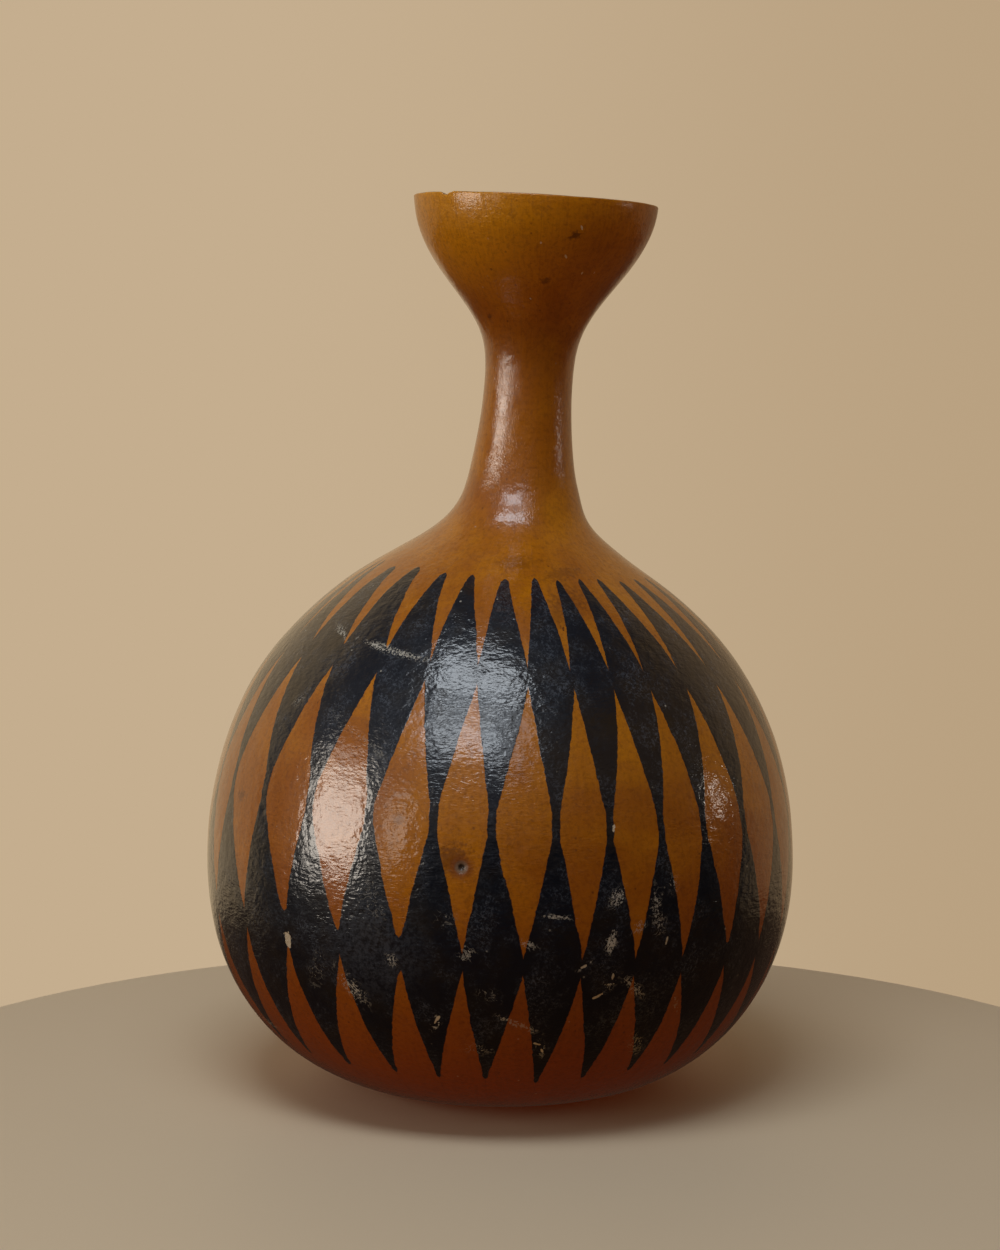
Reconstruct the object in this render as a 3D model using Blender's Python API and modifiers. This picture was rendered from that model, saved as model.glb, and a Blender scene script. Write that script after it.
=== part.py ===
"""A dried bottle gourd, hollowed out, its top sawn off so that the swelling above the neck is a cup.

The shell is one grown piece: an outline turned about the upright axis, thickened inwards, made as
uneven as it grew, and sawn across the cup. Metres, +Z up. The origin is the middle of the resting
spot, and the front faces -Y.
"""

import math

import bmesh
import bpy
import numpy as np
from mathutils import Vector

# Driving dimensions
BELLY_RADIUS = 0.1022
GROWN_HEIGHT = 0.311  # resting spot to the end of the outline, just above the saw cut

# Outline from the edge of the resting spot up: share of the belly radius, share of the grown height
OUTLINE = (
    (0.274, 0.0),
    (0.556, 0.014),
    (0.736, 0.048),
    (0.926, 0.129),
    (1.0, 0.264),  # the belly's widest
    (0.945, 0.376),
    (0.804, 0.473),
    (0.556, 0.556),  # the shoulder
    (0.342, 0.6045),
    (0.239, 0.6335),
    (0.166, 0.707),
    (0.149, 0.781),  # the waist of the neck
    (0.164, 0.830),
    (0.303, 0.900),
    (0.403, 0.965),
    (0.413, 1.0),
)
ROWS_PER_STATION = 3
TURN_STEPS = 48

# Wall thickness at shares of the grown height, from the thick blossom end to the thin cup
WALL = ((0.0, 0.0060), (0.15, 0.0050), (0.60, 0.0045), (0.80, 0.0045), (0.95, 0.0035), (1.0, 0.0035))

# How the gourd grew away from a turned shape
OVALITY = 0.006  # the section is this share longer on one diagonal, and shorter on the other
LEAN_HALF = 0.0063  # the neck leans to +X by this much on each of two stretches
LEAN_STRETCHES = ((0.563, 0.666), (0.579, 0.965))  # shares of the grown height

# The saw cut across the cup
RIM_HEIGHT = 0.3054  # at the middle of the cup
RIM_FALL_RIGHT = 0.054  # slope down towards +X
RIM_FALL_BACK = 0.020  # slope down towards +Y
SAW_WIDTH = 0.13
SAW_DEPTH = 0.03

SKIN_COLOR = (0.30, 0.11, 0.025, 1.0)
SKIN_ROUGHNESS = 0.28


def clear_scene():
    for obj in list(bpy.data.objects):
        bpy.data.objects.remove(obj)


def new_collection(name):
    collection = bpy.data.collections.new(name)
    bpy.context.scene.collection.children.link(collection)
    return collection


def new_material(name, color, roughness):
    material = bpy.data.materials.new(name)
    material.use_nodes = True
    shader = material.node_tree.nodes["Principled BSDF"]
    shader.inputs["Base Color"].default_value = color
    shader.inputs["Roughness"].default_value = roughness
    return material


def spline(knots, values, start_slope=None):
    """The cubic spline through values at knots, as a function. It ends straight, and starts straight or
    with start_slope."""
    count = len(knots)
    gaps = np.diff(knots)
    slopes = np.diff(values) / gaps
    system = np.eye(count)
    right_side = np.zeros(count)
    for i in range(1, count - 1):
        system[i, i - 1 : i + 2] = gaps[i - 1], 2 * (gaps[i - 1] + gaps[i]), gaps[i]
        right_side[i] = 6 * (slopes[i] - slopes[i - 1])
    if start_slope is not None:
        system[0, :2] = 2 * gaps[0], gaps[0]
        right_side[0] = 6 * (slopes[0] - start_slope)
    bends = np.linalg.solve(system, right_side)

    def value_at(knot):
        i = min(int(np.searchsorted(knots, knot, side="right")) - 1, count - 2)
        past = knot - knots[i]
        first_slope = slopes[i] - gaps[i] * (2 * bends[i] + bends[i + 1]) / 6
        bend_rate = (bends[i + 1] - bends[i]) / gaps[i]
        return values[i] + past * (first_slope + past * (bends[i] / 2 + past * bend_rate / 6))

    return value_at


def outline_points():
    """(radius, height) from the axis out along the resting spot and up the outline."""
    stations = np.array([(r * BELLY_RADIUS, h * GROWN_HEIGHT) for r, h in OUTLINE])
    chords = np.hypot(*np.diff(stations, axis=0).T)
    knots = np.concatenate([[0.0], np.cumsum(chords)])
    radius_at = spline(knots, stations[:, 0])
    height_at = spline(knots, stations[:, 1], start_slope=0.0)
    points = [(0.0, 0.0), (stations[0][0] / 2, 0.0)]
    for start, end in zip(knots[:-1], knots[1:]):
        for row in range(ROWS_PER_STATION):
            knot = start + (end - start) * row / ROWS_PER_STATION
            points.append((radius_at(knot), height_at(knot)))
    points.append(tuple(stations[-1]))
    return points


def wall_at(height):
    shares, walls = zip(*WALL)
    return float(np.interp(height / GROWN_HEIGHT, shares, walls))


def turned_shell(collection):
    """The outline turned about the axis and thickened inwards, still open at the top."""
    mesh = bpy.data.meshes.new("gourd outline")
    points = outline_points()[::-1]
    edges = [(i, i + 1) for i in range(len(points) - 1)]
    mesh.from_pydata([(radius, 0.0, height) for radius, height in points], edges, [])
    outline = bpy.data.objects.new("gourd outline", mesh)
    collection.objects.link(outline)

    thickest = max(wall for _, wall in WALL)
    walls = outline.vertex_groups.new(name="wall")
    for i, (_, height) in enumerate(points):
        walls.add([i], wall_at(height) / thickest, "REPLACE")

    turn = outline.modifiers.new("Turn", "SCREW")
    turn.steps = turn.render_steps = TURN_STEPS
    turn.use_merge_vertices = True
    turn.merge_threshold = 0.00001
    thicken = outline.modifiers.new("Thicken", "SOLIDIFY")
    thicken.thickness = thickest
    thicken.offset = -1.0
    thicken.use_even_offset = True
    thicken.vertex_group = walls.name

    graph = bpy.context.evaluated_depsgraph_get()
    shell_mesh = bpy.data.meshes.new_from_object(outline.evaluated_get(graph))
    shell_mesh.name = "gourd"
    bpy.data.objects.remove(outline)
    shell = bpy.data.objects.new("gourd", shell_mesh)
    collection.objects.link(shell)
    return shell


def ease(value, start, end):
    """0 below start, 1 above end, and a smooth step between."""
    share = min(max((value - start) / (end - start), 0.0), 1.0)
    return share * share * (3 - 2 * share)


def lean_at(height):
    """How far the middle of the section at this height lies to +X."""
    share = height / GROWN_HEIGHT
    return LEAN_HALF * sum(ease(share, start, end) for start, end in LEAN_STRETCHES)


def as_grown(point):
    """Where a point of the turned shell lies on the real gourd, which is a little oval and leans."""
    around = math.atan2(point.x, -point.y)
    swell = 1 + OVALITY * math.sin(2 * around)
    return Vector((point.x * swell + lean_at(point.z), point.y * swell, point.z))


def grow(shell):
    for vertex in shell.data.vertices:
        vertex.co = as_grown(vertex.co)
    shell.data.update()


def saw_cut(shell, cutters):
    """Takes off everything above the rim with a block whose underside is the cut."""
    block = bmesh.new()
    bmesh.ops.create_cube(block, size=1.0)
    bmesh.ops.scale(block, vec=(SAW_WIDTH, SAW_WIDTH, SAW_DEPTH), verts=block.verts)
    bmesh.ops.translate(block, vec=(0.0, 0.0, SAW_DEPTH / 2), verts=block.verts)
    mesh = bpy.data.meshes.new("saw cut")
    block.to_mesh(mesh)
    block.free()
    cutter = bpy.data.objects.new("saw cut", mesh)
    cutter.location = (lean_at(RIM_HEIGHT), 0.0, RIM_HEIGHT)
    cutter.rotation_euler = (-math.atan(RIM_FALL_BACK), math.atan(RIM_FALL_RIGHT), 0.0)
    cutter.display_type = "WIRE"
    cutter.hide_render = True
    cutters.objects.link(cutter)

    cut = shell.modifiers.new("Saw cut", "BOOLEAN")
    cut.operation = "DIFFERENCE"
    cut.solver = "EXACT"
    cut.object = cutter


def main():
    clear_scene()
    parts = new_collection("bottle gourd")
    cutters = new_collection("cutters")
    shell = turned_shell(parts)
    grow(shell)
    shell.data.shade_smooth()
    shell.data.set_sharp_from_angle(angle=math.radians(40))
    shell.data.materials.append(new_material("gourd skin", SKIN_COLOR, SKIN_ROUGHNESS))
    saw_cut(shell, cutters)


main()
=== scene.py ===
"""The dried bottle gourd as it looks: a varnished brown skin painted with rows of black diamonds.

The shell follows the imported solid's outline, with the lumps, the pit, the chips and the sawn rim that
the solid leaves out. Metres, +Z up, the front faces -Y.
"""

import math
import random
from collections import namedtuple

import bpy
import numpy as np
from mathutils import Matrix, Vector, noise


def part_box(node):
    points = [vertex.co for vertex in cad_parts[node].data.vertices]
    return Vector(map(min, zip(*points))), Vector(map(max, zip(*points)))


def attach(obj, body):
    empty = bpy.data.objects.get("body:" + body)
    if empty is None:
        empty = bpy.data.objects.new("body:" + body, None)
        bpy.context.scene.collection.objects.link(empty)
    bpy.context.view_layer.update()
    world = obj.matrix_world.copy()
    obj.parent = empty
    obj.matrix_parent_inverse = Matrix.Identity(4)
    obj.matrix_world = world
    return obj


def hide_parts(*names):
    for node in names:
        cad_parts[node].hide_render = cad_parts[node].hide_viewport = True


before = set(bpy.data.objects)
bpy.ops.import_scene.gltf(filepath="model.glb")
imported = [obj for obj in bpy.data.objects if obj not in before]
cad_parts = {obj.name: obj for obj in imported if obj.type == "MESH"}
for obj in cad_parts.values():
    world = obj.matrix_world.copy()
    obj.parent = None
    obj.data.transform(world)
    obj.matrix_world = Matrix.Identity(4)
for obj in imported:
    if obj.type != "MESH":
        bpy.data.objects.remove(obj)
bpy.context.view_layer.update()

MM = 0.001

# The outline, as the solid has it: share of the belly's radius, share of the grown height
OUTLINE = (
    (0.274, 0.0),
    (0.556, 0.014),
    (0.736, 0.048),
    (0.926, 0.129),
    (1.0, 0.264),  # the belly's widest
    (0.945, 0.376),
    (0.804, 0.473),
    (0.556, 0.556),  # the shoulder
    (0.342, 0.6045),
    (0.239, 0.6335),
    (0.166, 0.707),
    (0.149, 0.781),  # the waist of the neck
    (0.164, 0.830),
    (0.303, 0.900),
    (0.403, 0.965),
    (0.413, 1.0),
)
GROWN_PER_BELLY = 3.0431  # the grown height in belly radii

# Wall thickness at shares of the grown height
WALL = ((0.0, 0.0060), (0.15, 0.0050), (0.60, 0.0045), (0.80, 0.0045), (0.95, 0.0035), (1.0, 0.0035))

# How the gourd grew away from a turned shape, and how it was sawn, as the solid has it
OVALITY = 0.006  # the section is this share longer on one diagonal, and shorter on the other
LEAN_HALF = 0.0063  # the neck leans to +X by this much on each of two stretches
LEAN_STRETCHES = ((0.563, 0.666), (0.579, 0.965))  # shares of the grown height
RIM_HEIGHT = 0.3054  # at the middle of the cup
RIM_FALL_RIGHT = 0.054  # slope down towards +X
RIM_FALL_BACK = 0.020  # slope down towards +Y
CUP_FROM = 0.86  # share of the grown height above which the saw can have cut

# The black columns, angle to the right of the front at five levels, from the lower tips to the upper
# tips. Levels 1 and 3 are the widest of the black, and level 2 is the waist between them
FRONT_COLUMNS = (
    (-61.0, -63.0, -66.5, -67.0, -73.2),
    (-50.6, -49.2, -52.8, -52.6, -56.5),
    (-37.4, -37.2, -39.2, -37.5, -41.3),
    (-24.5, -24.4, -25.1, -23.4, -24.7),
    (-14.2, -12.2, -12.3, -11.3, -12.2),
    (-3.4, -1.3, -1.6, 0.8, 1.5),
    (8.4, 9.7, 10.3, 11.9, 13.8),
    (19.3, 20.0, 20.3, 21.8, 23.1),
    (31.0, 30.0, 30.9, 31.1, 33.1),
    (42.2, 41.1, 40.6, 41.2, 42.0),
    (53.0, 52.6, 52.1, 52.9, 53.4),
    (65.0, 64.0, 64.7, 65.5, 64.5),
)
COLUMN_COUNT = 31
BACK_JITTER = 1.2  # degrees by which the columns round the back stray
LEVEL_ALONG = (0.0575, 0.1065, 0.1515, 0.2005, 0.2440)  # metres up the outline, at the front
LEVEL_FALL = (0.0010, 0.0070, 0.0066, 0.0062, 0.0045)  # and lower by this at the right
LOW_TIP_LIFT = 0.006  # the lower tips end this much higher at the back
LOW_TIP_STRAY = 1.6  # millimetres by which single lower tips end higher or lower
HIGH_TIP_STRAY = 1.3
PLUMP_TIPS = {1: 0.82, 2: 0.80, 15: 0.8, 22: 0.85}  # columns whose upper tip was painted broad
PLUMP_STRETCH = (3.25, 3.75)  # levels over which they grow broad

# Bare tips that the black cuts off flat: the column to their left, the level they start from, and how
# far above it (or, where it is negative, below it) the black reaches
BLUNT_TIPS = ((1, 1, 0.18), (2, 1, 0.11), (3, 1, 0.15), (2, 3, 0.16), (1, 3, 0.12), (3, 1, -0.10),
              (9, 1, 0.12), (14, 1, 0.15), (19, 3, 0.15), (24, 1, 0.16), (28, 1, 0.12), (17, 1, -0.12))
BLUNT_SLOPE = 0.1  # what is left of the level's change there

Outline = namedtuple("Outline", "along radius height normal_out normal_up wall")


# Small helpers

def ease(value, start, end):
    """0 below start, 1 above end, and a smooth step between, for numbers and arrays."""
    share = np.clip((value - start) / (end - start), 0.0, 1.0)
    return share * share * (3 - 2 * share)


def tone(red, green, blue):
    """A colour given as it shows on a screen, from 0 to 255."""
    shares = [value / 255 for value in (red, green, blue)]
    linear = [s / 12.92 if s <= 0.04045 else ((s + 0.055) / 1.055) ** 2.4 for s in shares]
    return (*linear, 1.0)


def facing(azimuth, elevation):
    """The direction seen from the gourd: azimuth 0 is the front, and it grows to the right."""
    turn = math.radians(azimuth)
    rise = math.radians(elevation)
    return Vector((math.sin(turn) * math.cos(rise), -math.cos(turn) * math.cos(rise), math.sin(rise)))


# Camera

LENS_MM = 80
SENSOR_MM = 36
CAMERA_AWAY = 0.9594
CAMERA_HEIGHT = 0.26732
CAMERA_DOWN = 6.4  # degrees


def add_camera():
    """A view from a little below the rim, as in the photograph."""
    data = bpy.data.cameras.new("camera")
    data.lens = LENS_MM
    data.sensor_width = SENSOR_MM
    data.clip_start = 0.05
    camera = bpy.data.objects.new("camera", data)
    camera.location = (0.0, -CAMERA_AWAY, CAMERA_HEIGHT)
    camera.rotation_euler = (math.radians(90 - CAMERA_DOWN), 0.0, 0.0)
    bpy.context.collection.objects.link(camera)
    bpy.context.scene.camera = camera


# The shell's shape

OUTLINE_STEPS = 6000
FLAT_STEPS = 200


def spline(knots, values, start_slope=None):
    """The cubic spline through values at knots, as a function of an array."""
    count = len(knots)
    gaps = np.diff(knots)
    slopes = np.diff(values) / gaps
    system = np.eye(count)
    right_side = np.zeros(count)
    for i in range(1, count - 1):
        system[i, i - 1 : i + 2] = gaps[i - 1], 2 * (gaps[i - 1] + gaps[i]), gaps[i]
        right_side[i] = 6 * (slopes[i] - slopes[i - 1])
    if start_slope is not None:
        system[0, :2] = 2 * gaps[0], gaps[0]
        right_side[0] = 6 * (slopes[0] - start_slope)
    bends = np.linalg.solve(system, right_side)

    def values_at(places):
        i = np.clip(np.searchsorted(knots, places, side="right") - 1, 0, count - 2)
        past = places - knots[i]
        first_slope = slopes[i] - gaps[i] * (2 * bends[i] + bends[i + 1]) / 6
        bend_rate = (bends[i + 1] - bends[i]) / gaps[i]
        return values[i] + past * (first_slope + past * (bends[i] / 2 + past * bend_rate / 6))

    return values_at


def grown_outline(belly):
    """The outline in close steps, for a belly of this radius. along is the way up it in metres, 0 at the
    edge of the flat spot."""
    grown = belly * GROWN_PER_BELLY
    stations = np.array([(r * belly, h * grown) for r, h in OUTLINE])
    chords = np.hypot(*np.diff(stations, axis=0).T)
    knots = np.concatenate([[0.0], np.cumsum(chords)])
    steps = np.linspace(0.0, knots[-1], OUTLINE_STEPS)
    radius = spline(knots, stations[:, 0])(steps)
    height = spline(knots, stations[:, 1], start_slope=0.0)(steps)
    flat = np.linspace(0.0, stations[0][0], FLAT_STEPS, endpoint=False)
    radius = np.concatenate([flat, radius])
    height = np.concatenate([np.zeros(len(flat)), height])
    along = np.concatenate([[0.0], np.cumsum(np.hypot(np.diff(radius), np.diff(height)))])
    along -= stations[0][0]
    out = np.gradient(height, along)
    up = -np.gradient(radius, along)
    length = np.hypot(out, up)
    wall = np.interp(height / grown, *zip(*WALL))
    return Outline(along, radius, height, out / length, up / length, wall)


def lean_at(height, grown):
    """How far the middle of the section at this height lies to the right."""
    share = height / grown
    return LEAN_HALF * sum(ease(share, start, end) for start, end in LEAN_STRETCHES)


def placed(radius, height, around, grown):
    """Points of the real gourd, a little oval and leaning."""
    swell = 1 + OVALITY * np.sin(2 * around)
    across = radius * swell * np.sin(around) + lean_at(height, grown)
    return np.stack([across, -radius * swell * np.cos(around), height + 0 * around], axis=-1)


def profile(outline, along, inside=False):
    """Radius and height at places along the outline, outside or on the inside of the wall."""
    radius = np.interp(along, outline.along, outline.radius)
    height = np.interp(along, outline.along, outline.height)
    if inside:
        wall = np.interp(along, outline.along, outline.wall)
        radius = radius - wall * np.interp(along, outline.along, outline.normal_out)
        height = height - wall * np.interp(along, outline.along, outline.normal_up)
    return np.maximum(radius, 0.0), height


# Marks on the skin: angle to the right of the front, millimetres up the outline, half length, half
# width, slant to the right of upright, and how much each scuffs, stains and chips. Slant 90 is level.
MARKS = (
    (-29.5, 209.5, 17.0, 1.6, 103, 0.85, 0, 0),
    (-50.0, 215.0, 6.5, 1.7, 116, 0.75, 0, 0),
    (-30.5, 178.0, 13.0, 1.6, 120, 0.6, 0, 0),
    (-51.0, 188.0, 3.5, 2.5, 80, 0.6, 0, 0),
    (-29.0, 96.0, 8.0, 3.4, 140, 0.8, 0, 0),
    (-24.0, 125.0, 9.0, 5.0, 150, 0.5, 0, 0),
    (-12.3, 85.5, 4.2, 1.5, 22, 0.9, 0, 0),
    (-12.0, 86.8, 1.9, 0.5, 30, 0, 0, 1),
    (3.3, 85.0, 8.0, 1.4, 118, 0.85, 0, 0),
    (8.2, 74.5, 4.5, 1.7, 165, 0.9, 0, 0),
    (8.6, 73.4, 1.6, 0.45, 160, 0, 0, 1),
    (7.4, 76.6, 1.3, 0.4, 110, 0, 0, 0.9),
    (21.3, 127.0, 4.0, 3.2, 40, 0.8, 0, 0),
    (20.6, 100.0, 3.6, 2.2, 20, 0.9, 0, 0),
    (20.9, 101.2, 1.2, 0.6, 10, 0, 0, 0.8),
    (25.5, 96.5, 6.0, 2.2, 135, 0.8, 0, 0),
    (15.4, 105.6, 2.8, 1.0, 60, 0.9, 0, 0),
    (15.2, 105.4, 1.2, 0.5, 60, 0, 0, 0.9),
    (18.2, 94.4, 2.2, 0.5, 62, 0, 0, 0.95),
    (31.5, 111.6, 1.4, 0.4, 10, 0, 0, 0.8),
    (29.3, 121.0, 9.0, 2.8, 172, 0.75, 0, 0),
    (29.0, 73.0, 6.0, 3.0, 160, 0.7, 0, 0),
    (5.0, 113.5, 3.4, 1.6, 110, 0.8, 0, 0),
    (-6.0, 110.0, 3.0, 2.5, 60, 0.7, 0, 0),
    (-62.0, 70.0, 11.0, 1.8, 100, 0.7, 0, 0),
    (-20.0, 107.0, 2.6, 2.0, 150, 0.75, 0, 0),
    (33.0, 130.0, 3.4, 3.0, 10, 0.65, 0, 0),
    (-4.5, 74.5, 5.0, 3.0, 95, 0.6, 0, 0),
    (10.3, 122.1, 6.5, 0.9, 97, 0.85, 0, 0),
    (20.2, 112.9, 4.6, 1.9, 15, 0.95, 0, 0),
    (25.5, 117.0, 3.0, 2.2, 50, 0.8, 0, 0),
    (-36.5, 100.0, 7.0, 3.0, 20, 0.55, 0, 0),
    (-2.0, 96.0, 4.0, 2.6, 120, 0.55, 0, 0),
    (-9.5, 122.0, 5.0, 3.2, 30, 0.5, 0, 0),
    (36.0, 88.0, 5.0, 1.2, 160, 0.75, 0, 0),
    (21.0, 378.4, 1.2, 0.35, 155, 0, 0, 0.9),
    (15.5, 367.8, 0.9, 0.35, 150, 0, 0, 0.8),
    (28.8, 361.3, 0.6, 0.35, 10, 0, 0, 0.8),
    (-3.6, 350.6, 0.6, 0.4, 150, 0, 0, 0.6),
    (37.6, 361.5, 0.5, 0.3, 0, 0, 0, 0.5),
    (1.5, 372.9, 0.5, 0.4, 0, 0, 0, 0.6),
    (18.6, 375.6, 2.4, 1.6, 60, 0, 0.75, 0),
    (6.0, 358.1, 2.3, 1.6, 80, 0, 0.65, 0),
    (-46.9, 343.2, 1.6, 1.2, 0, 0, 0.6, 0),
    (-160.0, 370.0, 2.0, 1.2, 30, 0, 0.6, 0),
    (130.0, 366.0, 2.4, 1.4, 70, 0, 0.6, 0),
    (27.8, 227.7, 2.4, 0.5, 70, 0, 0.8, 0),
    (18.1, 219.2, 2.2, 0.5, 20, 0, 0.8, 0),
    (110.0, 120.0, 14.0, 3.0, 70, 0.65, 0, 0),
    (142.0, 196.0, 16.0, 1.8, 112, 0.75, 0, 0),
    (171.0, 92.0, 9.0, 3.6, 40, 0.7, 0, 0),
    (-150.0, 150.0, 12.0, 2.2, 60, 0.7, 0, 0),
    (-118.0, 108.0, 8.0, 4.0, 130, 0.65, 0, 0),
    (-96.0, 205.0, 12.0, 1.8, 80, 0.7, 0, 0),
    (88.0, 84.0, 8.0, 3.0, 150, 0.7, 0, 0),
    (-43.2, 109.0, 3.2, 1.7, 170, 0, 0, 1),
    (21.1, 149.2, 1.5, 0.5, 15, 0, 0, 1),
    (-9.0, 141.0, 7.0, 5.0, 60, 0, 0.55, 0),
    (-18.8, 152.5, 3.2, 2.2, 60, 0, 0.35, 0),
    (21.0, 229.0, 13.0, 7.0, 40, 0, 0.40, 0),
    (27.0, 246.0, 8.0, 4.0, 70, 0, 0.35, 0),
    (6.0, 252.0, 10.0, 4.0, 90, 0, 0.30, 0),
    (-61.0, 152.0, 3.4, 2.6, 80, 0, 0.55, 0),
)
SCUFF_SPREAD = 1.3  # how far a scuff's crumbs reach past its half length and half width
CHIP_ROOM = 1.2  # millimetres round a chip in which its faces show the chip and not a scuff under it
FAR_FROM_MARKS = 9.0  # what the Marks map holds where no mark is laid. A mark's edge lies at 1

# Where the skin is marked: angle to the right of the front, millimetres up the outline
PIT = (-6.9, 138.0)
HAZE = (-24.0, 112.0)
CRESCENT_CHIP = (21.6, 149.3)
FLAKE = (-43.2, 109.0)
DIMPLE = (-52.0, 149.0)

# The nick in the rim and the nibble beside it: middle and half width in degrees, depth in metres. The
# nick broke out wider and further left on the inside of the wall
NICK_OUTSIDE = (-47.6, 2.3)
NICK_INSIDE = (-51.6, 5.0)
NICK_DEPTH = 1.1 * MM
NIBBLE = (-44.2, 1.1)
NIBBLE_DEPTH = 0.35 * MM
SAW_WAVE = 0.16 * MM
SAW_RIPPLE = 0.05 * MM


def rim_drop(around, inside):
    """How far the rim lies under the saw's plane: a slightly uneven cut, one nick and one nibble."""
    degrees = np.degrees(around)
    waves = [noise.noise(Vector((math.sin(a) * 3.1, math.cos(a) * 3.1, 0.4))) for a in around]
    ripple = [noise.noise(Vector((math.sin(a) * 11.0, math.cos(a) * 11.0, 4.0))) for a in around]
    middle, half_width = NICK_INSIDE if inside else NICK_OUTSIDE
    nick = np.exp(-np.abs((degrees - middle) / half_width) ** 3) * NICK_DEPTH
    middle, half_width = NIBBLE
    nibble = np.exp(-((degrees - middle) / half_width) ** 2) * NIBBLE_DEPTH
    return SAW_WAVE * np.array(waves) + SAW_RIPPLE * np.array(ripple) + nick + nibble


def rim_along(outline, around, drop, inside, grown):
    """How far up the outline the saw cut lies, at each angle."""
    tops = outline.along > np.interp(CUP_FROM * grown, outline.height, outline.along)
    along = outline.along[tops]
    radius, height = profile(outline, along, inside)
    middle = lean_at(RIM_HEIGHT, grown)
    found = []
    for turn, fall in zip(around, drop):
        points = placed(radius, height, turn, grown)
        cut = RIM_HEIGHT - RIM_FALL_RIGHT * (points[:, 0] - middle) - RIM_FALL_BACK * points[:, 1] - fall
        found.append(np.interp(0.0, points[:, 2] - cut, along))
    return np.array(found)


def steps_with_finer(start, end, step, finer):
    """Places from start to end at about one step, closer together in the finer stretches."""
    places = [start]
    while places[-1] < end - step / 2:
        here = places[-1]
        stretch = [s for low, high, s in finer if low <= here < high]
        places.append(here + (stretch[0] if stretch else step))
    return np.array(places[:-1] + [end])


def close_to(around, along, spot, outline):
    """Millimetres to the right of a marked spot, and above it, over the surface."""
    angle, up = spot
    radius = np.interp(up * MM, outline.along, outline.radius)
    turn = (np.degrees(around) - angle + 180) % 360 - 180
    return np.radians(turn) * radius / MM, along / MM - up


def spot_on_skin(belly, spot):
    """The point of a marked spot."""
    radius, height = profile(grown_outline(belly), spot[1] * MM)
    return tuple(placed(radius, height, math.radians(spot[0]), belly * GROWN_PER_BELLY))


def hump(away, middle, half_width, power=2):
    """1 at the middle, and falling off softly on both sides of it."""
    return np.exp(-np.abs((away - middle) / half_width) ** power)


def marked_relief(around, along, outline):
    """The pit, the dimple, the chip and the flake, as metres out from the skin. The sizes in here are in
    millimetres."""
    right, up = close_to(around, along, PIT, outline)
    away = np.hypot(right, up * 0.9)
    hole, bowl, lip = hump(away, 0, 0.75), hump(away, 0, 2.2), hump(away, 2.3, 0.7)
    pit = -0.95 * hole - 0.22 * bowl + 0.11 * lip

    right, up = close_to(around, along, DIMPLE, outline)
    away = np.hypot(right, up / 1.35)
    dimple = -0.16 * hump(away, 0, 1.3, 4) + 0.07 * hump(away, 1.7, 0.4)

    right, up = close_to(around, along, CRESCENT_CHIP, outline)
    bow = np.hypot(right - 1.1, up + 0.3)
    crescent = -0.14 * hump(bow, 1.6, 0.45) * ease(0.8 - right, 0.0, 1.0)

    right, up = close_to(around, along, FLAKE, outline)
    flake = -0.12 * hump(right, 0, 1.5, 4) * hump(up, 0, 2.6, 4)
    return (pit + dimple + crescent + flake) * MM


def lumps(points, sizes_and_heights, shift):
    """Soft unevenness from smooth noise, one height for each point."""
    total = np.zeros(len(points))
    for k, (size, height) in enumerate(sizes_and_heights):
        offset = Vector((shift + 7.3 * k, 2.1 * k, -5.7 * k))
        total += height * np.array([noise.noise(Vector(p) / size + offset) for p in points])
    return total


# Size of the lumps across, and their height
SKIN_LUMPS = ((0.075, 0.50 * MM), (0.034, 0.26 * MM), (0.013, 0.06 * MM), (0.006, 0.015 * MM))
INSIDE_LUMPS = ((0.030, 0.5 * MM), (0.009, 0.25 * MM), (0.004, 0.08 * MM))
LUMPS_FADE = 0.03  # the skin gets its full lumps this far up the outline from the flat spot
SAW_GRAIN = 0.05 * MM
SAW_GRAIN_FREQUENCY = 900
RIM_ROUND = 0.55 * MM
RIM_ROUND_STEPS = 4
SKIN_OVER_RIM = 2  # the skin reaches over this many of them

# Columns in degrees and rows in millimetres, with finer stretches where the skin is marked
COLUMN_STEP = 1.5
FINE_COLUMNS = ((-57.0, -42.0, 0.5), (-9.0, -4.9, 0.24), (20.0, 23.4, 0.4))
ROW_STEP = 1.9
FINE_ROWS = ((106.0, 112.0, 0.7), (135.5, 140.5, 0.42), (146.5, 152.0, 0.6))
FLAT_SHARES = (0.0, 0.08, 0.16, 0.25, 0.4, 0.55, 0.7, 0.85)
COMMON_SHARE = 0.88  # of the way up, above which the rows follow the sloping rim
CUP_ROW_STEP = 2.4
INSIDE_ROW_STEP = 5.5
INSIDE_ROW_GAP = 4
INSIDE_FLAT_SHARES = (0.0, 0.3, 0.6, 0.85, 1.0)


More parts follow.
